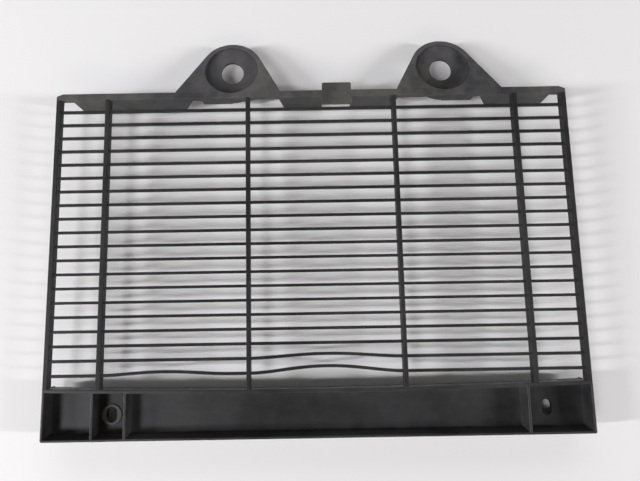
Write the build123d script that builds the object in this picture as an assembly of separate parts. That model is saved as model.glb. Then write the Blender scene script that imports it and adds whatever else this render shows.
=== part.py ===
"""Motorcycle radiator guard: a grille moulded in one piece, lying on its back with its face up."""
from build123d import *
import os

# Whole moulding, in millimetres: +X to the right, +Y towards the ears, +Z out of the face
width = 340.0
depth = 21.5

# Horizontal bars
bar_count = 20
bar_pitch = 9.0
bar_thickness = 1.6
bar_depth = 2.2
bar_setback = 0.8
bar_chamfer = 0.4

# Bows of the lowest bar and of the one above it, each at the middle of its bay
lowest_bow_middle_bay = 3.2
lowest_bow_left_bay = 1.0
second_bow_middle_bay = 1.3

# Side bars and uprights, whose faces are level with the rail
member_depth = 5.5
side_width = 2.8
upright_width = 2.8
upright_inset = 34.2
slim_width = 2.5
slim_left_x = -42.4
slim_right_x = 55.3

# Top rail and the flange behind it
rail_drop = 12.4
rail_height = 4.6
rail_depth = 4.4
rail_corner_length = 4.0
rail_corner_height = 1.6
flange_wall = 2.2
flange_end_gap = 10.0

# Ears, mirrored about a line to the right of the middle
ear_line_x = 18.4
ear_hole_spacing = 144.0
ear_hole_rise = 17.0
ear_hole_radius = 7.6
ear_radius = 21.3
ear_outer_foot = 37.4
ear_inner_foot = 33.0
ear_setback = 12.0
ear_floor = 2.5
ear_skin = 2.5
ear_wall = 2.2
cup_wall = 3.3
web_length = 20.0

# Window in the flange behind each ear, measured from the ear's hole
window_outer_front = 26.0
window_outer_rear = 34.0
window_inner_front = 32.0
window_inner_rear = 35.5

# Tab on the middle of the rail, and the notch behind it
tab_x = 17.2
tab_top_width = 18.4
tab_foot_width = 19.6
tab_rise = 5.2
tab_drop = 5.0
tab_thickness = 2.5
notch_clearance = 0.3

# Panel below the grille: a tray open to the front, under a lip that is level with the face
panel_gap = 6.5
panel_height = 31.6
panel_wall = 1.4
panel_recess = 12.0
panel_floor = 2.5
panel_corner_radius = 1.2
lip_height = 2.4
lip_sag = 2.3
rim_gap = 2.0
rib_width = 1.6
left_outer_rib_inset = 31.0
left_inner_rib_inset = 51.3
right_rib_inset = 40.0

# Fixing slots in the panel's floor, the left one through a boss
slot_width = 6.4
slot_length = 9.6
slot_rise = 13.4
left_slot_inset = 39.6
right_slot_inset = 24.2
boss_radius = 6.6
boss_front = 0.8
boss_rear = 1.5

# Heights along Y, with the origin in the middle of the whole length
last_bar_drop = (bar_count - 1) * bar_pitch
rail_to_ear_top = ear_hole_rise + ear_radius
length = rail_to_ear_top + rail_drop + last_bar_drop + bar_thickness / 2 + panel_gap + panel_height
rail_top_y = length / 2 - rail_to_ear_top
rail_bottom_y = rail_top_y - rail_height
first_bar_y = rail_top_y - rail_drop
panel_bottom_y = -length / 2
panel_top_y = panel_bottom_y + panel_height
lip_bottom_y = panel_top_y - lip_height
slot_y = panel_bottom_y + slot_rise

# Places across X and levels along Z that several features share
half_width = width / 2
side_x = half_width - side_width / 2
upright_x = half_width - upright_inset
member_xs = [-side_x, -upright_x, slim_left_x, slim_right_x, upright_x, side_x]
member_widths = [side_width, upright_width, slim_width, slim_width, upright_width, side_width]
left_slot_x = -half_width + left_slot_inset
right_slot_x = half_width - right_slot_inset
rib_xs = [-half_width + left_outer_rib_inset, -half_width + left_inner_rib_inset, half_width - right_rib_inset]
ear_hole_u = ear_hole_spacing / 2
ear_rear_z = depth - ear_setback
ear_floor_z = ear_rear_z + ear_floor
panel_floor_z = depth - panel_recess
panel_rear_z = panel_floor_z - panel_floor


def block(x_span, y_span, z_span):
    """A box between two X, two Y and two Z values."""
    lows, highs = zip(x_span, y_span, z_span)
    size = [high - low for low, high in zip(lows, highs)]
    return Pos(*lows) * Box(*size, align=(Align.MIN, Align.MIN, Align.MIN))


def post(x, y, radius, z_span):
    """A round prism about an upright line through X and Y, between two Z values."""
    low, high = z_span
    return Pos(x, y, low) * Cylinder(radius, high - low, align=(Align.CENTER, Align.CENTER, Align.MIN))


def bar(path):
    """A stretch of bar: a rectangle with its corners cut off, swept along a path."""
    section = Rectangle(bar_depth, bar_thickness)
    section = chamfer(section.vertices(), bar_chamfer)
    return sweep(Plane(origin=path @ 0, x_dir=(0, 0, 1), z_dir=path % 0) * section, path=path)


def bay_path(x_start, x_end, y, rise):
    """The middle line of a bar across one bay, straight or bowed upwards."""
    z = depth - bar_setback - bar_depth / 2
    if rise == 0:
        return Line((x_start, y, z), (x_end, y, z))
    return ThreePointArc((x_start, y, z), ((x_start + x_end) / 2, y + rise, z), (x_end, y, z))


def grille_bars():
    """All the bars: straight ones in one stretch, bowed ones bay by bay between the members."""
    bows = {
        bar_count - 1: [0, lowest_bow_left_bay, lowest_bow_middle_bay, 0, 0],
        bar_count - 2: [0, 0, second_bow_middle_bay, 0, 0],
    }
    bars = []
    for index in range(bar_count):
        y = first_bar_y - index * bar_pitch
        if index not in bows:
            bars.append(bar(bay_path(-side_x, side_x, y, 0)))
            continue
        for x_start, x_end, rise in zip(member_xs, member_xs[1:], bows[index]):
            bars.append(bar(bay_path(x_start, x_end, y, rise)))
    return bars


def lip_drop(x):
    """How far the panel's top edge sags at a place across X."""
    return lip_sag * (1 - (x / half_width) ** 2)


def members():
    """Side bars and uprights, from the rail down into the panel's lip."""
    high_y = rail_top_y - rail_corner_height
    uprights = []
    for x, across in zip(member_xs, member_widths):
        low_y = panel_top_y - lip_drop(x) - lip_height / 2
        x_span = (x - across / 2, x + across / 2)
        uprights.append(block(x_span, (low_y, high_y), (depth - member_depth, depth)))
    return uprights


def rail():
    """The front strip of the rail, with its two outer corners cut off."""
    outline = Polyline(
        (-half_width, rail_bottom_y),
        (half_width, rail_bottom_y),
        (half_width, rail_top_y - rail_corner_height),
        (half_width - rail_corner_length, rail_top_y),
        (-half_width + rail_corner_length, rail_top_y),
        (-half_width, rail_top_y - rail_corner_height),
        close=True,
    )
    return Pos(0, 0, depth - rail_depth) * extrude(make_face(outline), rail_depth)


def on_both_ears(right_ear_feature):
    """A feature of the right ear and its mirror image on the left ear."""
    return [right_ear_feature, mirror(right_ear_feature, about=Plane.YZ.offset(ear_line_x))]


def flange_window():
    """The opening in the flange behind the right ear, wider at the rear."""
    front_z = depth - rail_depth
    outline = Polyline(
        (ear_hole_u - window_inner_front, front_z),
        (ear_hole_u + window_outer_front, front_z),
        (ear_hole_u + window_outer_rear, 0),
        (ear_hole_u - window_inner_rear, 0),
        close=True,
    )
    wall = extrude(Plane.XZ * make_face(outline), flange_wall)
    return Pos(ear_line_x, rail_bottom_y + flange_wall, 0) * wall


def flange():
    """The flange that reaches back from the rail over the top of the radiator."""
    half = half_width - flange_end_gap
    y_span = (rail_bottom_y, rail_bottom_y + flange_wall)
    wall = block((-half, half), y_span, (0, depth - rail_depth / 2))
    notch_half = tab_foot_width / 2 + notch_clearance
    notch = block((tab_x - notch_half, tab_x + notch_half), y_span, (0, depth - rail_depth))
    return wall - on_both_ears(flange_window()) - notch


def tab():
    """The tapered plate that stands up from the middle of the rail."""
    top_y = rail_top_y + tab_rise
    foot_y = rail_bottom_y - tab_drop
    outline = Polyline(
        (-tab_foot_width / 2, foot_y),
        (tab_foot_width / 2, foot_y),
        (tab_top_width / 2, top_y),
        (-tab_top_width / 2, top_y),
        close=True,
    )
    return Pos(tab_x, 0, depth - tab_thickness) * extrude(make_face(outline), tab_thickness)


def ear_outline(crown_radius, inset):
    """A round crown about the hole with straight legs down to two feet on the rail."""
    crown = Pos(0, ear_hole_rise) * Circle(crown_radius)
    feet = Line((-ear_inner_foot + inset, 0), (ear_outer_foot - inset, 0))
    return make_hull([*crown.edges(), feet])


def under_slope(blank, drop):
    """What lies below the ear's face, which slopes back from the rail to the top of the crown."""
    fall = depth - ear_floor_z
    face = Plane(origin=(0, 0, depth - drop), x_dir=(1, 0, 0), z_dir=(0, fall, rail_to_ear_top))
    return split(blank, bisect_by=face, keep=Keep.BOTTOM)


def place_right(feature):
    """Moves a feature from the ear's own foot line to the right ear's place on the rail."""
    return Pos(ear_line_x + ear_hole_u, rail_top_y, 0) * feature


def right_ear():
    """An ear with a sloping face, walls along its legs, a round cup wall and a hollow back."""
    low = Pos(0, 0, ear_rear_z)
    body = under_slope(low * extrude(ear_outline(ear_radius, 0), ear_setback), 0)
    hollow = low * extrude(ear_outline(ear_radius - ear_wall, ear_wall), ear_setback)
    hollow = under_slope(hollow, ear_skin) - post(0, ear_hole_rise, ear_radius, (ear_rear_z, depth))
    web_y = ear_hole_rise - ear_radius
    web = block((0, web_length), (web_y, web_y + ear_wall), (ear_rear_z, depth - rail_depth))
    return place_right(body - hollow + web)


def right_cup():
    """The space inside the right ear's cup, with the hole through its floor."""
    cup = post(0, ear_hole_rise, ear_radius - cup_wall, (ear_floor_z, depth))
    hole = post(0, ear_hole_rise, ear_hole_radius, (ear_rear_z, ear_floor_z))
    return place_right(cup + hole)


def panel_face(top_inset, wall_inset):
    """The panel's outline with its sagging top edge, drawn in from the top and from the other sides."""
    side = half_width - wall_inset
    top_y = panel_top_y - top_inset
    low_y = panel_bottom_y + wall_inset
    sagging_edge = ThreePointArc((-side, top_y), (0, top_y - lip_sag), (side, top_y))
    other_edges = Polyline((side, top_y), (side, low_y), (-side, low_y), (-side, top_y))
    return make_face([sagging_edge, *other_edges.edges()])


def panel():
    """The tray: a skirt round a floor set back from the face, a lip, ribs and two fixing slots."""
    lip_overhang = lip_height - panel_wall
    skirt = extrude(panel_face(lip_overhang, 0), depth)
    lower_corners = skirt.edges().filter_by(Axis.Z).group_by(Axis.Y)[0]
    skirt = fillet(lower_corners, panel_corner_radius)
    tray = skirt - Pos(0, 0, panel_floor_z) * extrude(panel_face(lip_height, panel_wall), panel_recess)
    tray -= extrude(panel_face(lip_overhang, panel_wall), panel_rear_z)
    tray -= block((-half_width, half_width), (lip_bottom_y - rim_gap, panel_top_y), (0, panel_rear_z))
    lip = panel_face(0, 0) - panel_face(lip_height, 0)
    tray += Pos(0, 0, depth - member_depth) * extrude(lip, member_depth)
    for x in rib_xs:
        rib_x = (x - rib_width / 2, x + rib_width / 2)
        rib_y = (panel_bottom_y + panel_wall / 2, lip_bottom_y - lip_drop(x) + panel_wall / 2)
        tray += block(rib_x, rib_y, (panel_floor_z, depth))
    boss_span = (panel_rear_z - boss_rear, panel_floor_z + boss_front)
    tray += post(left_slot_x, slot_y, boss_radius, boss_span)
    slot = extrude(SlotOverall(slot_length, slot_width, rotation=90), depth)
    return tray - [Pos(x, slot_y, 0) * slot for x in (left_slot_x, right_slot_x)]


guard = Part() + [rail(), flange(), tab(), panel(), *members(), *grille_bars(), *on_both_ears(right_ear())]
guard -= on_both_ears(right_cup())

os.makedirs("parts", exist_ok=True)
export_step(guard, "parts/radiator_guard.step")
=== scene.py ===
# %% [markdown]
# This lesson dresses a motorcycle radiator guard. The guard is one black moulding: twenty level bars on a few
# uprights, a top rail with two fixing ears, and a tray-shaped panel along the bottom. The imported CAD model
# gives its place and size. It could be shown as it is, but its edges are sharp and its faces are bare. So each
# feature is made again with rounded edges and a worn finish, in the same frame, in metres.

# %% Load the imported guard
import bpy
import bmesh
import math
from mathutils import Matrix, Vector


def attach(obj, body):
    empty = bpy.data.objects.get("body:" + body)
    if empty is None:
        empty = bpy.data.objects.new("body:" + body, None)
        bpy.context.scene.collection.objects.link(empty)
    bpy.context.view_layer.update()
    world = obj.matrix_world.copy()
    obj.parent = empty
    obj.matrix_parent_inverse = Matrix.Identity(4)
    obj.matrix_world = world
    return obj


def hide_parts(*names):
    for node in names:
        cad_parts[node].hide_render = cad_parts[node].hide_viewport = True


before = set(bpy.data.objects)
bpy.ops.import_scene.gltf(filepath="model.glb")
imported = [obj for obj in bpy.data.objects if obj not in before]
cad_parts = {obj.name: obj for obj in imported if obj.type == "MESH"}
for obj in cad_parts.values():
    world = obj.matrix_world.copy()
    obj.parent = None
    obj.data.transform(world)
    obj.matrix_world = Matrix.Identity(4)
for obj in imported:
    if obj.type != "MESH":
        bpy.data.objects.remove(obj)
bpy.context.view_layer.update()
scene = bpy.context.scene
scene.view_settings.view_transform = "Standard"
MM = 0.001

# %% [markdown]
# The camera stands nearly straight above the guard, a little towards the panel, and the guard lies off the
# middle of the frame. A camera placed by eye would leave the bars some millimetres out. Its place, its turns
# and its focal length were fitted to the bars and uprights instead, so they are written as they were found. A
# lens shift moves the frame without turning the view.

# %% Set up the camera
camera_place = Vector((-11.319, -42.647, 339.595)) * MM
camera_tilt, camera_lean, camera_roll = 7.8088, 0.1419, -0.9681
focal_pixels = 498.477
centre_pixels = (296.131, 225.022)
picture_pixels = (640, 481)
sensor_width = 36.0

lens = bpy.data.cameras.new("photo_camera")
lens.sensor_fit = "HORIZONTAL"
lens.sensor_width = sensor_width
lens.lens = sensor_width * focal_pixels / picture_pixels[0]
lens.shift_x = (picture_pixels[0] / 2 - centre_pixels[0]) / picture_pixels[0]
lens.shift_y = (centre_pixels[1] - picture_pixels[1] / 2) / picture_pixels[0]
lens.clip_start, lens.clip_end = 0.01, 50
camera = bpy.data.objects.new("photo_camera", lens)
camera.location = camera_place
camera.rotation_euler = [math.radians(turn) for turn in (camera_tilt, camera_lean, camera_roll)]
scene.collection.objects.link(camera)
scene.camera = camera
print("lens", round(lens.lens, 2), "mm, shift", round(lens.shift_x, 4), round(lens.shift_y, 4))

# %% [markdown]
# Both the shapes that repeat and the finishes are node trees. They could be drawn by hand in Blender's
# editors, but a script can be read and run again. One helper adds a node, sets its options, and fills its
# inputs: a value is written into the socket, and another node's output is linked to it.

# %% Helpers that add nodes
FLOAT, WHOLE = "NodeSocketFloat", "NodeSocketInt"
SHAPE, FINISH = "NodeSocketGeometry", "NodeSocketMaterial"


def add(tree, kind, inputs=(), **options):
    """One node of a tree, with its options set and its inputs filled or linked."""
    node = tree.nodes.new(kind)
    for name, value in options.items():
        setattr(node, name, value)
    for name, value in dict(inputs).items():
        if isinstance(value, bpy.types.NodeSocket):
            tree.links.new(value, node.inputs[name])
        else:
            node.inputs[name].default_value = value
    return node


def math_node(tree, operation, *values, clamp=False):
    """One sum of two or three values, and its result."""
    inputs = dict(enumerate(values))
    return add(tree, "ShaderNodeMath", inputs, operation=operation, use_clamp=clamp).outputs[0]


def ramp(tree, value, low, high, to_low=0.0, to_high=1.0):
    """A value spread smoothly from one span to another."""
    inputs = {0: value, 1: low, 2: high, 3: to_low, 4: to_high}
    return add(tree, "ShaderNodeMapRange", inputs, interpolation_type="SMOOTHSTEP").outputs[0]


def group_tree(name, kind, inputs, outputs):
    """An empty node group with named inputs and outputs, and its two end nodes."""
    tree = bpy.data.node_groups.new(name, kind)
    for label, socket_kind, value in inputs:
        socket = tree.interface.new_socket(label, in_out="INPUT", socket_type=socket_kind)
        if value is not None:
            socket.default_value = value
    for label, socket_kind in outputs:
        tree.interface.new_socket(label, in_out="OUTPUT", socket_type=socket_kind)
    return tree, tree.nodes.new("NodeGroupInput").outputs, tree.nodes.new("NodeGroupOutput").inputs


print("node helpers ready")

# %% [markdown]
# Moulded plastic takes a fine, dull grain from its tool. A painted picture could show it, but that would fit
# one mesh only, and have seams. Noise on Object coordinates has none. This effect and those below are groups
# that each put out one mask or height, so that every finish can use them with its own values.

# %% Grain of the mould
coarse_per_metre, coarse_share = 240.0, 0.6


def object_noise(tree, scale, detail, stretch=(1, 1, 1), roughness=0.55):
    """Noise that stays on the piece, drawn out along an axis if asked."""
    place = add(tree, "ShaderNodeTexCoord").outputs["Object"]
    place = add(tree, "ShaderNodeMapping", {"Vector": place, "Scale": stretch}).outputs[0]
    inputs = {"Vector": place, "Scale": scale, "Detail": detail, "Roughness": roughness}
    return add(tree, "ShaderNodeTexNoise", inputs).outputs[0]


grain, grain_in, grain_out = group_tree("mould_grain", "ShaderNodeTree",
                                        [("Grains per Metre", FLOAT, 1800.0)], [("Height", FLOAT)])
fine = object_noise(grain, grain_in["Grains per Metre"], detail=3.0)
coarse = object_noise(grain, coarse_per_metre, detail=2.0)
grain.links.new(math_node(grain, "MULTIPLY_ADD", coarse, coarse_share, fine), grain_out["Height"])
print("group", grain.name)

# %% [markdown]
# Black plastic fades unevenly, in broad patches that hold smaller blotches. One noise would give spots of one
# size, so two are drawn and each counts for half.

# %% Uneven fading
broad_span, blotch_span = (0.38, 0.62), (0.41, 0.60)
blotches_per_metre, blotch_roughness = 110.0, 0.65

fading, fading_in, fading_out = group_tree("uneven_fading", "ShaderNodeTree",
                                           [("Patches per Metre", FLOAT, 13.0)], [("Mask", FLOAT)])
broad = object_noise(fading, fading_in["Patches per Metre"], detail=3.0)
blotches = object_noise(fading, blotches_per_metre, detail=5.0, roughness=blotch_roughness)
halves = [math_node(fading, "MULTIPLY", ramp(fading, noise, *span), 0.5)
          for noise, span in ((broad, broad_span), (blotches, blotch_span))]
fading.links.new(math_node(fading, "ADD", *halves), fading_out["Mask"])
print("group", fading.name)

# %% [markdown]
# Handling rubs the edges paler. They could be painted by hand, but the Bevel node finds them on any piece:
# where a rounded normal turns away from the true one, there is an edge. Edges that lie in shelter are spared,
# and noise breaks the line up.

# %% Wear along edges
turned_span, exposed_span, broken_span = (0.99, 0.80), (0.72, 0.95), (0.38, 0.66)
shelter_distance, breaks_per_metre = 0.003, 160.0

wear, wear_in, wear_out = group_tree("edge_wear", "ShaderNodeTree",
                                     [("Reach", FLOAT, 0.0006), ("Strength", FLOAT, 1.0)], [("Mask", FLOAT)])
rounded = add(wear, "ShaderNodeBevel", {"Radius": wear_in["Reach"]}, samples=6).outputs[0]
true = add(wear, "ShaderNodeNewGeometry").outputs["Normal"]
same = add(wear, "ShaderNodeVectorMath", {0: rounded, 1: true}, operation="DOT_PRODUCT").outputs["Value"]
turned = ramp(wear, same, *turned_span)
open_air = add(wear, "ShaderNodeAmbientOcclusion", {"Distance": shelter_distance}, samples=8).outputs["AO"]
exposed = ramp(wear, open_air, *exposed_span)
broken = ramp(wear, object_noise(wear, breaks_per_metre, detail=4.0), *broken_span)
mask = math_node(wear, "MULTIPLY", math_node(wear, "MULTIPLY", turned, exposed), broken)
wear.links.new(math_node(wear, "MULTIPLY", mask, wear_in["Strength"], clamp=True), wear_out["Mask"])
print("group", wear.name)

# %% [markdown]
# A thin film settles on faces that look up, and less of it on upright ones, with specks of dust in it. A mask
# painted from above would miss the sides. Each face's own normal says how far it looks up, on every piece. Where a
# finish gives upright faces more film than level ones, that film is painted light.

# %% Film and specks on faces that look up
facing_span, patch_span, speck_span = (0.1, 0.95), (0.34, 0.70), (0.60, 0.78)
specks_per_metre, speck_strength = 900.0, 0.45

haze, haze_in, haze_out = group_tree("settled_haze", "ShaderNodeTree",
                                     [("Patches per Metre", FLOAT, 22.0), ("Strength", FLOAT, 1.0),
                                      ("Side Strength", FLOAT, 0.25)], [("Mask", FLOAT)])
facing = add(haze, "ShaderNodeNewGeometry").outputs["Normal"]
facing = add(haze, "ShaderNodeSeparateXYZ", {0: facing}).outputs["Z"]
amount = ramp(haze, facing, *facing_span, haze_in["Side Strength"], haze_in["Strength"])
patches = ramp(haze, object_noise(haze, haze_in["Patches per Metre"], detail=5.0), *patch_span)
specks = ramp(haze, object_noise(haze, specks_per_metre, detail=2.0), *speck_span, 0.0, speck_strength)
mask = math_node(haze, "MAXIMUM", patches, specks)
haze.links.new(math_node(haze, "MULTIPLY", mask, amount, clamp=True), haze_out["Mask"])
print("group", haze.name)

# %% [markdown]
# Dust packs into corners that a cloth doesn't reach. Corners could be marked one by one, but the Ambient
# Occlusion node measures shelter, which is what keeps the cloth out.

# %% Dust packed into corners
sheltered_span, uneven_span, uneven_share = (0.85, 0.35), (0.30, 0.60), (0.45, 1.0)
clumps_per_metre = 90.0

corner, corner_in, corner_out = group_tree("corner_dust", "ShaderNodeTree",
                                           [("Reach", FLOAT, 0.008), ("Strength", FLOAT, 1.0)], [("Mask", FLOAT)])
shelter = add(corner, "ShaderNodeAmbientOcclusion", {"Distance": corner_in["Reach"]}, samples=8).outputs["AO"]
clumps = ramp(corner, object_noise(corner, clumps_per_metre, detail=4.0), *uneven_span, *uneven_share)
packed = math_node(corner, "MULTIPLY", ramp(corner, shelter, *sheltered_span), clumps)
corner.links.new(math_node(corner, "MULTIPLY", packed, corner_in["Strength"], clamp=True), corner_out["Mask"])
print("group", corner.name)

# %% [markdown]
# Wiping leaves faint streaks, most of them level and some upright. Drawn lines would look ruled. A noise that
# is stretched hard along one axis breaks off and starts again as a cloth does, so there are two of these.

# %% Streaks from wiping
level_stretch, upright_stretch = (35, 700, 350), (420, 60, 200)
level_span, upright_span, upright_strength = (0.58, 0.72), (0.64, 0.76), 0.7

streaks, streaks_in, streaks_out = group_tree("wiping_streaks", "ShaderNodeTree",
                                              [("Strength", FLOAT, 1.0)], [("Mask", FLOAT)])
level = object_noise(streaks, 1.0, detail=4.0, stretch=level_stretch)
upright = object_noise(streaks, 1.0, detail=4.0, stretch=upright_stretch)
level = ramp(streaks, level, *level_span)
upright = ramp(streaks, upright, *upright_span, 0.0, upright_strength)
mask = math_node(streaks, "MAXIMUM", level, upright)
streaks.links.new(math_node(streaks, "MULTIPLY", mask, streaks_in["Strength"], clamp=True), streaks_out["Mask"])
print("group", streaks.name)

# %% [markdown]
# All features are the same satin black plastic, but the rail and ears have greyed most with age and the bars and
# uprights least. The panel is drawn darker than the rail, which is painted shade, and its upright walls take more
# film than its floor, which is painted light. The ring round the left slot is painted pale, which is a painted
# highlight. Five finishes drawn apart would drift from each other, so one function builds them all, and each kind of
# feature gets its own values.

# %% The worn plastic
film_and_painted_light_colour = (0.118, 0.114, 0.122, 1)
rubbed_colour = (0.175, 0.170, 0.172, 1)
wiped_colour = (0.090, 0.087, 0.090, 1)
dust_colour = (0.130, 0.124, 0.134, 1)
film_dulling = 0.2
grain_strength, grain_height = 0.35, 0.00006


def mix(tree, mask, first, second):
    """Two colours mixed by a mask. Of its inputs, 0 is the mask, and 6 and 7 are the colours."""
    return add(tree, "ShaderNodeMix", {0: mask, 6: first, 7: second}, data_type="RGBA").outputs[2]


def use(tree, group, **values):
    """One of the shared effects, placed in a finish with its own values."""
    node = add(tree, "ShaderNodeGroup", node_tree=group)
    for name, value in values.items():
        node.inputs[name.replace("_", " ")].default_value = value
    return node.outputs[0]


def worn_plastic(name, fresh, faded, film, side_film_and_painted_light, edges, dust=0.3, wipes=0.15, rough=0.52, shine=0.5):
    """Satin black plastic of one age."""
    finish = bpy.data.materials.new(name)
    finish.use_nodes = True
    tree = finish.node_tree
    shader = tree.nodes["Principled BSDF"].inputs
    shader["Specular IOR Level"].default_value = shine
    # On the panel the upright walls take more of this film than its floor, which is painted light on the walls.
    film_and_painted_light_mask = use(tree, haze, Strength=film, Side_Strength=side_film_and_painted_light)
    rubbed = use(tree, wear, Strength=edges)
    wiped = use(tree, streaks, Strength=wipes)
    dusty = use(tree, corner, Strength=dust)
    colour = mix(tree, use(tree, fading), fresh, faded)
    for mask, tint in ((film_and_painted_light_mask, film_and_painted_light_colour), (rubbed, rubbed_colour), (wiped, wiped_colour), (dusty, dust_colour)):
        colour = mix(tree, mask, colour, tint)
    tree.links.new(colour, shader["Base Color"])
    tree.links.new(math_node(tree, "MULTIPLY_ADD", film_and_painted_light_mask, film_dulling, rough), shader["Roughness"])
    relief = {"Height": use(tree, grain), "Strength": grain_strength, "Distance": grain_height}
    tree.links.new(add(tree, "ShaderNodeBump", relief).outputs[0], shader["Normal"])
    return finish


print("the film is", film_and_painted_light_colour[:3])

# %% Five ages of the plastic
bar_plastic = worn_plastic("bar_plastic", fresh=(0.011, 0.0108, 0.0122, 1), faded=(0.023, 0.0225, 0.0222, 1),
                           film=0.10, side_film_and_painted_light=0.04, edges=0.14, shine=0.22)
upright_plastic = worn_plastic("upright_plastic", fresh=(0.011, 0.0108, 0.0128, 1), faded=(0.023, 0.0225, 0.0225, 1),
                               film=0.12, side_film_and_painted_light=0.03, edges=0.20, shine=0.21)
rail_plastic = worn_plastic("rail_plastic", fresh=(0.018, 0.017, 0.023, 1), faded=(0.066, 0.065, 0.056, 1),
                            film=0.40, side_film_and_painted_light=0.15, edges=0.4)
# Painted shade: the panel's plastic is drawn darker than the rail's, though both are one moulding.
panel_plastic = worn_plastic("panel_plastic", fresh=(0.0095, 0.0093, 0.0106, 1), faded=(0.021, 0.0203, 0.0196, 1),
                             film=0.19, side_film_and_painted_light=0.28, edges=0.16, dust=0.22, wipes=0.07, rough=0.44, shine=0.42)
# Painted highlight: the boss round the left slot is drawn far paler than the plastic around it.
washer_plastic = worn_plastic("washer_plastic", fresh=(0.165, 0.160, 0.158, 1), faded=(0.240, 0.233, 0.228, 1),
                              film=0.3, side_film_and_painted_light=0.15, edges=0.4)
finishes = (bar_plastic, upright_plastic, rail_plastic, panel_plastic, washer_plastic)
print("finishes:", [finish.name for finish in finishes])

# %% [markdown]
# A node tree's sizes are inputs of its modifier. They are set by the sockets' identifiers before the object is
# first evaluated. The modifier could stay, but the export wants plain meshes, so the evaluated shape is kept
# as one and the modifier goes. Every piece of the guard is finished by the same helper, which smooths its
# roundings and keeps its flat faces flat.

# %% Run a tree, finish a piece
pieces = []
sharp_angle = math.radians(40)
even_weight = 100


def plain_mesh(source, name):
    """The evaluated shape of an object, as a mesh of its own."""
    bpy.context.view_layer.update()
    graph = bpy.context.evaluated_depsgraph_get()
    shown = source.evaluated_get(graph)
    mesh = bpy.data.meshes.new_from_object(shown, preserve_all_data_layers=True, depsgraph=graph)
    mesh.name = name
    return mesh


def keep(name, mesh, finish=None):
    """A finished piece: smooth over its roundings, flat on its faces, with its place in its mesh."""
    if finish is not None:
        mesh.materials.clear()
        mesh.materials.append(finish)
    mesh.polygons.foreach_set("use_smooth", [True] * len(mesh.polygons))
    mesh.set_sharp_from_angle(angle=sharp_angle)
    piece = bpy.data.objects.new(name, mesh)
    scene.collection.objects.link(piece)
    even = piece.modifiers.new("even", "WEIGHTED_NORMAL")
    even.keep_sharp = True
    even.weight = even_weight
    piece.data = plain_mesh(piece, name)
    piece.modifiers.clear()
    bpy.data.meshes.remove(mesh)
    pieces.append(piece)
    corners = [Vector(c) / MM for c in piece.bound_box]
    size = [round(max(c[i] for c in corners) - min(c[i] for c in corners), 2) for i in range(3)]
    print(name, size, "mm,", len(piece.data.polygons), "faces")


def grow(tree, start_mesh, name, **sizes):
    """The plain mesh that a geometry tree makes with these sizes."""
    source = bpy.data.objects.new(name, start_mesh)
    scene.collection.objects.link(source)
    modifier = source.modifiers.new("grow", "NODES")
    modifier.node_group = tree
    for socket in tree.interface.items_tree:
        label = socket.name.replace(" ", "_")
        if socket.in_out == "INPUT" and label in sizes:
            modifier[socket.identifier] = sizes[label]
    source.update_tag()
    mesh = plain_mesh(source, name)
    bpy.data.objects.remove(source)
    return mesh


print("piece helpers ready")

# %% [markdown]
# On this guard the two lowest bars are bent upwards between uprights. They could be sculpted, but damage that
# is a few numbers is easy to change. A bow is a small group that lifts one row of bars within one bay. A bar
# that is held at both ends leaves them level, so the lift follows the square of a plain arch.

# %% One bow of one bar
same_row = 0.5

bow, bow_in, bow_out = group_tree("bow_in_one_bay", "GeometryNodeTree",
                                  [("X", FLOAT, 0.0), ("Row", FLOAT, 0.0), ("Bowed Row", FLOAT, 19.0),
                                   ("Bay Start", FLOAT, 0.0), ("Bay End", FLOAT, 0.1), ("Rise", FLOAT, 0.003)],
                                  [("Lift", FLOAT)])
middle = math_node(bow, "MULTIPLY", math_node(bow, "ADD", bow_in["Bay Start"], bow_in["Bay End"]), 0.5)
half_bay = math_node(bow, "MULTIPLY", math_node(bow, "SUBTRACT", bow_in["Bay End"], bow_in["Bay Start"]), 0.5)
along = math_node(bow, "DIVIDE", math_node(bow, "SUBTRACT", bow_in["X"], middle), half_bay)
arch = math_node(bow, "SUBTRACT", 1.0, math_node(bow, "MULTIPLY", along, along))
held = math_node(bow, "POWER", math_node(bow, "MAXIMUM", arch, 0.0), 2.0)
lift = math_node(bow, "MULTIPLY", held, bow_in["Rise"])
chosen = math_node(bow, "COMPARE", bow_in["Row"], bow_in["Bowed Row"], same_row)
bow.links.new(math_node(bow, "MULTIPLY", lift, chosen), bow_out["Lift"])
print("group", bow.name)

# %% [markdown]
# Twenty level bars repeat at one pitch. An Array modifier could copy one bar, but then no bar could be bent.
# So a tree makes them: a column of points, one line on each point, the bows, and a rounded section that is
# swept along every line.

# %% The tree of bars
half_width, depth = 170.0, 21.5
side_x, upright_x, slim_left_x, slim_right_x = 168.6, 135.8, -42.4, 55.3
bar_count, bar_pitch, points_per_bar, corner_points = 20, 9.0, 121, 3
lowest_bar, second_bar = bar_count - 1, bar_count - 2
left_bow_end = slim_left_x - 12.0
bows = [(lowest_bar, slim_left_x, slim_right_x, 3.8), (lowest_bar, -upright_x, left_bow_end, 1.8),
        (second_bar, slim_left_x, slim_right_x, 2.3)]


def swept(tree, lines, sizes):
    """Lines turned into bars of a rounded section, in the sizes and the finish that the tree is given."""
    section = add(tree, "GeometryNodeCurvePrimitiveQuadrilateral",
                  {"Width": sizes["Across"], "Height": sizes["Depth"]}).outputs[0]
    section = add(tree, "GeometryNodeFilletCurve",
                  {"Curve": section, "Radius": sizes["Edge"], "Count": corner_points}, mode="POLY").outputs[0]
    shape = add(tree, "GeometryNodeCurveToMesh",
                {"Curve": lines, "Profile Curve": section, "Fill Caps": True}).outputs[0]
    shape = add(tree, "GeometryNodeRealizeInstances", {"Geometry": shape}).outputs[0]
    return add(tree, "GeometryNodeSetMaterial", {"Geometry": shape, "Material": sizes["Finish"]}).outputs[0]


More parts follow.
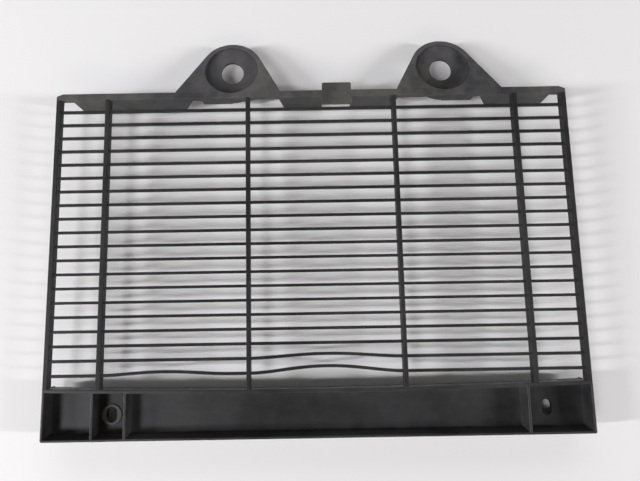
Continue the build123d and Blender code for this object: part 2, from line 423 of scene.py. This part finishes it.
bars, bars_in, bars_out = group_tree("level_bars", "GeometryNodeTree",
                                     [("Geometry", SHAPE, None), ("Count", WHOLE, 20), ("Pitch", FLOAT, 0.009),
                                      ("First Y", FLOAT, 0.08), ("Middle Z", FLOAT, 0.02),
                                      ("Half Span", FLOAT, 0.17), ("Across", FLOAT, 0.0018),
                                      ("Depth", FLOAT, 0.0022), ("Edge", FLOAT, 0.0004),
                                      ("Finish", FINISH, None)], [("Geometry", SHAPE)])
start = add(bars, "ShaderNodeCombineXYZ", {"Y": bars_in["First Y"], "Z": bars_in["Middle Z"]}).outputs[0]
step = add(bars, "ShaderNodeCombineXYZ", {"Y": math_node(bars, "MULTIPLY", bars_in["Pitch"], -1.0)}).outputs[0]
column = add(bars, "GeometryNodeMeshLine", {"Count": bars_in["Count"], "Start Location": start, "Offset": step})
row_number = add(bars, "GeometryNodeInputIndex").outputs[0]
numbered = add(bars, "GeometryNodeStoreNamedAttribute",
               {"Geometry": column.outputs[0], "Name": "row", "Value": row_number}, data_type="FLOAT", domain="POINT")
left_x = math_node(bars, "MULTIPLY", bars_in["Half Span"], -1.0)
line_ends = {"Start": add(bars, "ShaderNodeCombineXYZ", {"X": left_x}).outputs[0],
             "End": add(bars, "ShaderNodeCombineXYZ", {"X": bars_in["Half Span"]}).outputs[0]}
line = add(bars, "GeometryNodeCurvePrimitiveLine", line_ends).outputs[0]
lines = add(bars, "GeometryNodeInstanceOnPoints", {"Points": numbered.outputs[0], "Instance": line}).outputs[0]
lines = add(bars, "GeometryNodeRealizeInstances", {"Geometry": lines}).outputs[0]
lines = add(bars, "GeometryNodeResampleCurve", {"Curve": lines, "Count": points_per_bar}).outputs[0]
print("tree", bars.name, "with", len(bows), "bows")

# %% The bars
first_bar_y, bar_middle_z = 79.6, 19.6
bar_across, bar_depth, bar_edge = 1.85, 2.2, 0.38

row = add(bars, "GeometryNodeInputNamedAttribute", {"Name": "row"}, data_type="FLOAT").outputs["Attribute"]
place = add(bars, "GeometryNodeInputPosition").outputs[0]
across = add(bars, "ShaderNodeSeparateXYZ", {0: place}).outputs["X"]
lift = 0.0
for bowed_row, bay_start, bay_end, rise in bows:
    values = {"X": across, "Row": row, "Bowed Row": bowed_row, "Bay Start": bay_start * MM, "Bay End": bay_end * MM,
              "Rise": rise * MM}
    lift = math_node(bars, "ADD", add(bars, "GeometryNodeGroup", values, node_tree=bow).outputs[0], lift)
lift = add(bars, "ShaderNodeCombineXYZ", {"Y": lift}).outputs[0]
lines = add(bars, "GeometryNodeSetPosition", {"Geometry": lines, "Offset": lift}).outputs[0]
bars.links.new(swept(bars, lines, bars_in), bars_out["Geometry"])
mesh = grow(bars, bpy.data.meshes.new("start"), "grille_bars", Count=bar_count, Pitch=bar_pitch * MM,
            First_Y=first_bar_y * MM, Middle_Z=bar_middle_z * MM, Half_Span=side_x * MM, Across=bar_across * MM,
            Depth=bar_depth * MM, Edge=bar_edge * MM, Finish=bar_plastic)
keep("grille_bars", mesh)

# %% [markdown]
# The side bars, the uprights and the ribs of the panel are all straight strips with rounded edges, of
# different lengths. Each could be a stretched block, but then its rounding would stretch too. A tree starts
# from one point for each strip instead. A number on the point says how far it is drawn down, and a rounded
# section is swept along the line that this leaves.

# %% The tree of strips
strips, strips_in, strips_out = group_tree("drawn_strips", "GeometryNodeTree",
                                           [("Geometry", SHAPE, None), ("Across", FLOAT, 0.0028),
                                            ("Depth", FLOAT, 0.0055), ("Edge", FLOAT, 0.0005),
                                            ("Finish", FINISH, None)], [("Geometry", SHAPE)])
drop = add(strips, "GeometryNodeInputNamedAttribute", {"Name": "drop"}, data_type="FLOAT").outputs["Attribute"]
fall = add(strips, "ShaderNodeCombineXYZ", {"Y": math_node(strips, "MULTIPLY", drop, -1.0)}).outputs[0]
drawn = add(strips, "GeometryNodeExtrudeMesh",
            {"Mesh": strips_in["Geometry"], "Offset": fall, "Offset Scale": 1.0}, mode="VERTICES").outputs[0]
lines = add(strips, "GeometryNodeMeshToCurve", {"Mesh": drawn}).outputs[0]
strips.links.new(swept(strips, lines, strips_in), strips_out["Geometry"])


def draw_strips(name, tops, middle_z, across, deep, edge, finish):
    """Strips of one section, each drawn down from the top to the foot that are given for it."""
    points = bpy.data.meshes.new("strip_tops")
    points.from_pydata([(x * MM, high * MM, middle_z * MM) for x, high, low in tops], [], [])
    length = points.attributes.new("drop", "FLOAT", "POINT")
    length.data.foreach_set("value", [(high - low) * MM for x, high, low in tops])
    return grow(strips, points, name, Across=across * MM, Depth=deep * MM, Edge=edge * MM, Finish=finish)


print("tree", strips.name)

# %% Side bars and uprights
panel_top_y, lip_height, lip_sag = -98.7, 2.4, 2.3
rail_bottom_y, rail_top_y = 87.4, 92.0
member_depth, member_edge, set_back = 5.5, 0.45, 0.02
upright_top = rail_bottom_y + 2.6
upright_middle_z = depth - member_depth / 2 - set_back
wide_across, slim_across = 3.05, 2.8
side_middle = half_width - wide_across / 2


def lip_y(x):
    """The sagging top edge of the panel at a place across the guard."""
    return panel_top_y - lip_sag * (1 - (x / half_width) ** 2)


for name, across, places in (("wide_uprights", wide_across, (-side_middle, -upright_x, upright_x, side_middle)),
                             ("slim_uprights", slim_across, (slim_left_x, slim_right_x))):
    tops = [(x, upright_top, lip_y(x) - lip_height / 2) for x in places]
    keep(name, draw_strips(name, tops, upright_middle_z, across, member_depth, member_edge, upright_plastic))

# %% [markdown]
# The rail, the flange, the tab, the ears and most of the panel are flat shapes with a thickness. They could be
# extruded face by face, but a flat curve is filled, extruded and bevelled at once, and an inner outline
# becomes an opening. Each plate is turned into a mesh, and its loose rings of points are merged.

# %% A plate from outlines
bevel_steps, merge_gap = 2, 0.002


def arc(x, y, radius, start, end, steps):
    """Points on part of a circle, in degrees."""
    turns = [math.radians(start + (end - start) * i / steps) for i in range(steps + 1)]
    return [(x + radius * math.cos(a), y + radius * math.sin(a)) for a in turns]


def circle(x, y, radius, steps):
    """Points on a whole circle."""
    return arc(x, y, radius, 0, 360 - 360 / steps, steps - 1)


def shape_of(mesh):
    """The editable shape of a mesh, which goes."""
    shape = bmesh.new()
    shape.from_mesh(mesh)
    bpy.data.meshes.remove(mesh)
    return shape


def plate(outlines, low, high, edge):
    """A plate between two heights with all its edges rounded: an outer outline and any openings."""
    flat = bpy.data.curves.new("plate", "CURVE")
    flat.dimensions = "2D"
    flat.fill_mode = "BOTH"
    for outline in outlines:
        loop = flat.splines.new("POLY")
        loop.points.add(len(outline) - 1)
        loop.points.foreach_set("co", [value for x, y in outline for value in (x * MM, y * MM, 0, 1)])
        loop.use_cyclic_u = True
    flat.extrude = ((high - low) / 2 - edge) * MM
    flat.bevel_depth = edge * MM
    flat.bevel_resolution = bevel_steps
    flat.offset = -edge * MM
    source = bpy.data.objects.new("plate", flat)
    scene.collection.objects.link(source)
    mesh = plain_mesh(source, "plate")
    bpy.data.objects.remove(source)
    bpy.data.curves.remove(flat)
    shape = shape_of(mesh)
    bmesh.ops.remove_doubles(shape, verts=shape.verts, dist=merge_gap * MM)
    bmesh.ops.translate(shape, verts=shape.verts, vec=(0, 0, (low + high) / 2 * MM))
    bmesh.ops.recalc_face_normals(shape, faces=shape.faces)
    return shape


print("roundings have", bevel_steps + 2, "points")

# %% [markdown]
# Where plates meet, as in an ear or the panel, the real moulding has no faces inside it. Plates could simply
# be left to cross, but their hidden faces would confuse the shelter that the dust and wear look for. Boolean
# modifiers melt them into one closed shape.

# %% Plates melted together
shortest_edge = 0.005


def unite(shapes, name, cutter=None):
    """Closed shapes melted into one closed mesh, with no faces left inside, less a last shape if there is one."""
    blocks = []
    for shape in [*shapes, *([cutter] if cutter else [])]:
        mesh = bpy.data.meshes.new(name)
        shape.to_mesh(mesh)
        shape.free()
        blocks.append(bpy.data.objects.new(name, mesh))
        scene.collection.objects.link(blocks[-1])
    for number, block in enumerate(blocks[1:], 1):
        melt = blocks[0].modifiers.new("melt", "BOOLEAN")
        melt.operation = "UNION" if number < len(shapes) else "DIFFERENCE"
        melt.solver = "MANIFOLD"
        melt.object = block
    whole = plain_mesh(blocks[0], name)
    for block in blocks:
        bpy.data.objects.remove(block)
    shape = shape_of(whole)
    bmesh.ops.dissolve_degenerate(shape, edges=shape.edges, dist=shortest_edge * MM)
    open_edges = sum(not edge.is_manifold for edge in shape.edges)
    print(name, "holds", round(shape.calc_volume() / MM ** 3), "cubic mm, open edges", open_edges)
    whole = bpy.data.meshes.new(name)
    shape.to_mesh(whole)
    shape.free()
    return whole


print("melted shapes lose edges under", shortest_edge, "mm")

# %% [markdown]
# The rail is a level strip with its outer corners cut off. The round cups of the ears reach a millimetre into
# it. They could be cut out of it with a Boolean, but two shallow bites on the same circles, drawn in its upper
# edge, leave cleaner edges.

# %% The rail
ear_line_x, ear_hole_u, ear_hole_rise = 18.4, 72.0, 17.0
ear_xs = (ear_line_x - ear_hole_u, ear_line_x + ear_hole_u)
cup_radius, bite_steps = 18.0, 10
rail_depth, rail_edge, corner_length, corner_height = 4.4, 0.5, 4.0, 1.6

bite = math.degrees(math.asin(ear_hole_rise / cup_radius))
bites = [arc(x, rail_top_y + ear_hole_rise, cup_radius, 180 + bite, 360 - bite, bite_steps) for x in ear_xs]
left_corner = [(-half_width, rail_bottom_y), (-half_width, rail_top_y - corner_height),
               (-half_width + corner_length, rail_top_y)]
right_corner = [(-x, y) for x, y in reversed(left_corner)]
rail = plate([[*left_corner, *bites[0], *bites[1], *right_corner]], depth - rail_depth, depth, rail_edge)
keep("top_rail", unite([rail], "top_rail"), rail_plastic)

# %% [markdown]
# Behind the rail, a thin wall reaches back over the top of the radiator. It is cut away behind each ear and
# behind the tab, and its right end flares out a little. A strip could be swept along the rail and cut, but the
# wall is flat: its outline is drawn lying down, as a comb, and the plate is then tipped up.

# %% The flange
flange_wall, flange_half, flange_front, flange_edge = 2.2, 160.0, 19.3, 0.4
right_flare_front, right_flare_rear = 0.8, 3.0
window_front = 17.1
right_window = [(33.1, 0.0), (23.6, window_front), (-31.5, window_front), (-33.0, 0.0)]
left_window = [(35.5, 0.0), (32.0, window_front), (-26.0, window_front), (-34.0, 0.0)]
notch_x, notch_half = 18.1, 10.0

notch_right, notch_left = notch_x + notch_half, notch_x - notch_half
notch = [(notch_right, 0), (notch_right, window_front), (notch_left, window_front), (notch_left, 0)]
right_end = [(flange_half + right_flare_front, flange_front), (flange_half + right_flare_rear, 0)]
comb = [(-flange_half, flange_front), *right_end, *[(ear_xs[1] + x, z) for x, z in right_window], *notch,
        *[(ear_xs[0] + x, z) for x, z in left_window], (-flange_half, 0)]
wall = plate([comb], -flange_wall / 2, flange_wall / 2, flange_edge)
bmesh.ops.rotate(wall, verts=wall.verts, cent=(0, 0, 0), matrix=Matrix.Rotation(math.radians(90), 3, "X"))
bmesh.ops.translate(wall, verts=wall.verts, vec=(0, (rail_bottom_y + flange_wall / 2) * MM, 0))
keep("rail_flange", unite([wall], "rail_flange"), rail_plastic)

# %% [markdown]
# A small tapered tab stands on the middle of the rail, level with its face. A block with bevelled corners
# would do, but as a plate it gets the same edges as the rail that it grows from. Its top corners are rounded
# in the outline itself.

# %% The tab
tab_x, tab_foot_half, tab_top_half, tab_corner = 17.2, 10.1, 9.7, 1.0
tab_top_y, tab_foot_y = rail_top_y + 5.2, rail_bottom_y - 5.0
tab_depth, tab_edge, tab_set_back, tab_steps = 2.5, 0.45, 0.01, 4

corner_x, corner_y = tab_top_half - tab_corner, tab_top_y - tab_corner
tab_outline = [(tab_x - tab_foot_half, tab_foot_y), (tab_x + tab_foot_half, tab_foot_y),
               *arc(tab_x + corner_x, corner_y, tab_corner, 0, 90, tab_steps),
               *arc(tab_x - corner_x, corner_y, tab_corner, 90, 180, tab_steps)]
tab = plate([tab_outline], depth - tab_depth, depth - tab_set_back, tab_edge)
keep("rail_tab", unite([tab], "rail_tab"), rail_plastic)

# %% [markdown]
# Each ear is a skin that slopes back from the rail to a round crown, with a wall along its legs, a round cup
# with a drilled floor, and a hollow back. It could be sculpted from a block. As plates in the ear's own
# outline, its walls keep their thickness. What lies above the foot line is then lowered in step with its
# distance from the rail, which makes the slope.

# %% The outline of an ear
ear_radius, ear_wall, ear_skin = 21.3, 2.2, 2.5
ear_rear_z, ear_floor_z = 9.5, 12.0
outer_foot, inner_foot, crown_steps = 37.4, 33.0, 40
ear_length = ear_hole_rise + ear_radius


def leg_tilt(foot, radius):
    """Where on the crown a straight leg from a foot touches it, in degrees."""
    to_hole = math.hypot(foot, ear_hole_rise)
    return math.degrees(math.atan2(-ear_hole_rise, foot) + math.acos(radius / to_hole))


def ear_legs(radius, inset):
    """The outline over the crown, from the outer foot round to the inner one."""
    outer, inner = outer_foot - inset, inner_foot - inset
    crown = arc(0, ear_hole_rise, radius, leg_tilt(outer, radius), 180 - leg_tilt(inner, radius), crown_steps)
    return [(outer, 0.0), *crown, (-inner, 0.0)]


def ring(radius, steps=72):
    """A whole circle about the ear's hole."""
    return circle(0, ear_hole_rise, radius, steps)


def lower_by_slope(shape, above):
    """Lowers what is above a height, more and more towards the crown."""
    everything = [*shape.verts, *shape.edges, *shape.faces]
    bmesh.ops.bisect_plane(shape, geom=everything, plane_co=(0, 0, 0), plane_no=(0, 1, 0))
    for vert in shape.verts:
        if vert.co.z > above * MM and vert.co.y > 0:
            vert.co.z -= (depth - ear_floor_z) * vert.co.y / ear_length
    return shape


print("an ear is", ear_length, "mm long")

# %% [markdown]
# The plates of an ear are melted together. Two faces in one plane would spoil that, so the rear of each plate
# lies a few hundredths of a millimetre before the last one's. The ears could be drawn one by one, but the real
# ones mirror each other, so one function draws the right ear and turns the same shapes over for the left.

# %% The two ears
skin_foot_y, skin_set_back, skin_edge = -2.5, 0.015, 0.6
wall_top_z, wall_edge, wall_set_in = depth - 1.2, 0.3, 0.03
tube_set_in, tube_step, floor_step, web_step = 0.4, 0.02, 0.04, 0.06
ear_hole_radius, hole_steps, floor_overlap, floor_edge = 7.6, 48, 0.8, 0.4
web_length, web_low, web_high, web_overlap = 20, -4.3, -2.1, 0.6


def ear(name, sign, hole_x):
    """One ear, drawn for the right and turned over for the left."""
    half_way_z = (ear_rear_z + depth) / 2
    skin_outline = [*ear_legs(ear_radius, 0), (-inner_foot, skin_foot_y), (outer_foot, skin_foot_y)]
    skin = plate([skin_outline, ring(cup_radius)], depth - ear_skin, depth - skin_set_back, skin_edge)
    band = [*ear_legs(ear_radius - wall_set_in, wall_set_in), *reversed(ear_legs(ear_radius - ear_wall, ear_wall))]
    walls = plate([band], ear_rear_z, wall_top_z, wall_edge)
    tube = plate([ring(ear_radius - tube_set_in), ring(cup_radius + wall_set_in)],
                 ear_rear_z + tube_step, wall_top_z, wall_edge)
    cup_floor = plate([ring(cup_radius + floor_overlap), ring(ear_hole_radius, hole_steps)],
                      ear_rear_z + floor_step, ear_floor_z, floor_edge)
    web = plate([[(0, web_low), (web_length, web_low), (web_length, web_high), (0, web_high)]],
                ear_rear_z + web_step, depth - rail_depth + web_overlap, wall_edge)
    shapes = [lower_by_slope(skin, 0), lower_by_slope(walls, half_way_z), lower_by_slope(tube, half_way_z),
              cup_floor, web]
    for shape in shapes:
        if sign < 0:
            bmesh.ops.scale(shape, verts=shape.verts, vec=(-1, 1, 1))
            bmesh.ops.reverse_faces(shape, faces=shape.faces)
        bmesh.ops.translate(shape, verts=shape.verts, vec=(hole_x * MM, rail_top_y * MM, 0))
    keep(name, unite(shapes, name), rail_plastic)


ear("left_ear", -1, ear_xs[0])
ear("right_ear", 1, ear_xs[1])

# %% [markdown]
# The bottom panel is a tray, open to the front, under a lip that is level with the bars' face. Its top edge
# sags a little in the middle, as the whole moulding has warped there. A skirt runs back from its sides and
# lower edge, and the plain floor is set well back from the rim. A hollowed box would have a straight top edge,
# so the tray is built from plates that share one sagging line.

# %% Outlines of the tray
panel_bottom_y = -130.3
sag_steps, corner_steps = 48, 5


def sagging_edge(drop, inset):
    """The panel's top edge from left to right, moved down by a drop and in by an inset."""
    side = half_width - inset
    places = [-side + 2 * side * i / sag_steps for i in range(sag_steps + 1)]
    return [(x, panel_top_y - drop - lip_sag * (1 - (x / side) ** 2)) for x in places]


def lower_corners(inset, radius):
    """The panel's rounded lower corners, the right one and then the left."""
    side, y = half_width - inset - radius, panel_bottom_y + inset + radius
    return [*arc(side, y, radius, 0, -90, corner_steps), *arc(-side, y, radius, -90, -180, corner_steps)]


def wall_outline(drop, inset, radius):
    """The right, lower and left sides of the panel from end to end, with rounded lower corners."""
    side, y = half_width - inset, panel_top_y - drop
    return [(side, y), *lower_corners(inset, radius), (-side, y)]


def lip_band(drop, inset):
    """A band along the panel's top edge, from a drop down to the lip's lower edge."""
    return [*sagging_edge(drop, inset), *reversed(sagging_edge(lip_height, inset))]


print("the top edge sags by", lip_sag, "mm")

# %% Plates of the tray
panel_wall, panel_floor_z, panel_rear_z = 1.4, 9.5, 7.0
slot_y, slot_xs, slot_radius, slot_run = -116.9, (-130.4, 145.8), 3.2, 1.6
wall_drop, floor_drop, side_drop = 0.6, 1.7, 1.0
floor_inset, side_inset, lip_inset = 0.7, 0.5, 0.02
outer_corner, inner_corner, floor_corner = 1.2, 0.4, 0.8
tray_step, wall_step = 0.03, 0.01
skirt_edge, tray_edge, side_edge, lip_edge, slot_steps = 0.4, 0.35, 0.3, 0.5, 12

slots = [[*arc(x, slot_y + slot_run, slot_radius, 0, 180, slot_steps),
          *arc(x, slot_y - slot_run, slot_radius, 180, 360, slot_steps)] for x in slot_xs]
wall_band = [*wall_outline(wall_drop, 0, outer_corner), *reversed(wall_outline(wall_drop, panel_wall, inner_corner))]
wall = plate([wall_band], 0, depth - wall_step, skirt_edge)
floor_outline = [*sagging_edge(floor_drop, floor_inset), *lower_corners(floor_inset, floor_corner)]
tray_floor = plate([floor_outline, *slots], panel_rear_z, panel_floor_z, tray_edge)
top_side = plate([lip_band(side_drop, side_inset)], panel_rear_z + tray_step, depth - tray_step, side_edge)
lip = plate([lip_band(0, lip_inset)], depth - member_depth, depth, lip_edge)
tray = [wall, tray_floor, top_side, lip]
print("the tray has", len(tray), "plates")

# %% [markdown]
# Three ribs divide the tray. They could be plates as well, but they are straight strips, so they come from the
# tree of strips, and are melted into the panel with its walls. The ends of the side walls are cut back behind
# the lip, where the panel hooks over what it is fixed to.

# %% Ribs and the finished panel
rib_xs, rib_across, rib_edge = (-139.0, -118.7, 130.0), 1.6, 0.4
rib_depth, rib_set_back, rib_overlap = depth - panel_floor_z + 0.6, 0.05, 0.7
rim_gap, far_x, above_lip, cut_rear_z, cut_edge = 2.0, 180, 5, -2, 0.02

ribs = [(x, lip_y(x) - lip_height + rib_overlap, panel_bottom_y + panel_wall / 2) for x in rib_xs]
rib_middle_z = depth - rib_depth / 2 - rib_set_back
tray.append(shape_of(draw_strips("panel_ribs", ribs, rib_middle_z, rib_across, rib_depth, rib_edge, panel_plastic)))
cut_low, cut_high = panel_top_y - lip_height - rim_gap, panel_top_y + above_lip
cut_outline = [(-far_x, cut_low), (far_x, cut_low), (far_x, cut_high), (-far_x, cut_high)]
behind_lip = plate([cut_outline], cut_rear_z, panel_rear_z - cut_edge, cut_edge)
keep("bottom_panel", unite(tray, "bottom_panel", behind_lip), panel_plastic)

# %% [markdown]
# The left slot goes through a low round boss, which is painted pale as a painted highlight. It could be melted into
# the panel too, but as a piece of its own it takes its own finish. It uses the slot's outline as its opening.

# %% Boss
boss_radius, boss_steps, boss_low_z, boss_high_z, boss_edge = 6.6, 48, 5.5, 10.3, 0.7

boss_outline = circle(slot_xs[0], slot_y, boss_radius, boss_steps)
boss = plate([boss_outline, slots[0]], boss_low_z, boss_high_z, boss_edge)
keep("slot_boss", unite([boss], "slot_boss"), washer_plastic)

# %% [markdown]
# The guard lies on its back on a plain pale floor. A curved backdrop is common in a studio, but it has to be
# turned with the view. A flat floor that fades into a pale world shows no edge from any side.

# %% Floor
floor_half, fade_start, fade_end, floor_gap = 2.4, 0.45, 1.15, 0.0002
floor_colour, floor_roughness = (0.84, 0.84, 0.845, 1), 0.6

floor_mesh = bpy.data.meshes.new("floor")
floor_corners = [(x * floor_half, y * floor_half, 0) for x, y in ((-1, -1), (1, -1), (1, 1), (-1, 1))]
floor_mesh.from_pydata(floor_corners, [], [(0, 1, 2, 3)])
floor = bpy.data.objects.new("floor", floor_mesh)
floor.location.z = -floor_gap
scene.collection.objects.link(floor)
pale = bpy.data.materials.new("pale_floor")
pale.use_nodes = True
floor_tree = pale.node_tree
cloth = floor_tree.nodes["Principled BSDF"].inputs
cloth["Base Color"].default_value = floor_colour
cloth["Roughness"].default_value = floor_roughness
from_middle = add(floor_tree, "ShaderNodeTexCoord").outputs["Object"]
from_middle = add(floor_tree, "ShaderNodeVectorMath", {0: from_middle}, operation="LENGTH").outputs["Value"]
floor_tree.links.new(ramp(floor_tree, from_middle, fade_end, fade_start), cloth["Alpha"])
floor_mesh.materials.append(pale)
print("floor", 2 * floor_half, "m square")

# %% [markdown]
# Black plastic shows its shape by its sheen and by the shadows under it. One strong lamp would draw hard lines
# on the floor. Two low strips of light, left and right, shade the floor under the bars softly. A card high on
# the left gives the panel its sheen, and a wide warm lamp near the panel and a weak one beyond the ears fill
# in. The world is pale near the horizon and dim overhead, so that black plastic stays black.

# %% Lamps
def soft_lamp(name, place, size, power, colour, upward="Y"):
    """A flat lamp that looks at the guard from a place above the floor, with one of its own sides turned upwards."""
    lamp = bpy.data.lights.new(name, "AREA")
    lamp.shape = "RECTANGLE"
    lamp.size, lamp.size_y = size
    lamp.energy = power
    lamp.color = colour
    stand = bpy.data.objects.new(name, lamp)
    stand.location = place
    stand.rotation_mode = "QUATERNION"
    stand.rotation_quaternion = stand.location.to_track_quat("Z", upward)
    scene.collection.objects.link(stand)


for name, side, watts in (("left_strip", -1, 17.0), ("right_strip", 1, 11.5)):
    soft_lamp(name, place=(side * 1.45, -0.22, 0.78), size=(0.50, 0.07), power=watts, colour=(0.99, 0.985, 1.0),
              upward="X")
soft_lamp("overhead_card", place=(-1.40, -0.95, 2.4), size=(0.7, 0.7), power=24.0, colour=(0.97, 0.95, 1.0))
soft_lamp("near_fill", place=(0.3, -3.2, 2.4), size=(3.0, 1.2), power=21.0, colour=(1.0, 0.95, 0.86))
soft_lamp("far_side", place=(-0.1, 1.6, 1.2), size=(2.2, 0.8), power=8.0, colour=(0.98, 0.98, 1.0))

# %% World
horizon_height, overhead_height = 0.20, 0.45
horizon_strength, overhead_strength = 0.90, 0.06
horizon_colour, overhead_colour = (0.98, 0.98, 1.0, 1), (1.0, 0.90, 0.72, 1)

world = bpy.data.worlds.new("pale_world")
world.use_nodes = True
sky = world.node_tree
background = sky.nodes["Background"].inputs
height = add(sky, "ShaderNodeTexCoord").outputs["Generated"]
height = add(sky, "ShaderNodeSeparateXYZ", {0: height}).outputs["Z"]
strength = ramp(sky, height, horizon_height, overhead_height, horizon_strength, overhead_strength)
overhead = ramp(sky, height, horizon_height, overhead_height)
sky.links.new(strength, background["Strength"])
sky.links.new(mix(sky, overhead, horizon_colour, overhead_colour), background["Color"])
scene.world = world
print("world", world.name)

# %% [markdown]
# Every piece rides on the guard's one body and stands in for the one CAD solid, which is hidden. The pieces could
# be joined first, but apart they keep their own finishes and names.

# %% Tie the pieces to the frame
for piece in pieces:
    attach(piece, "root")
    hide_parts("radiator_guard")
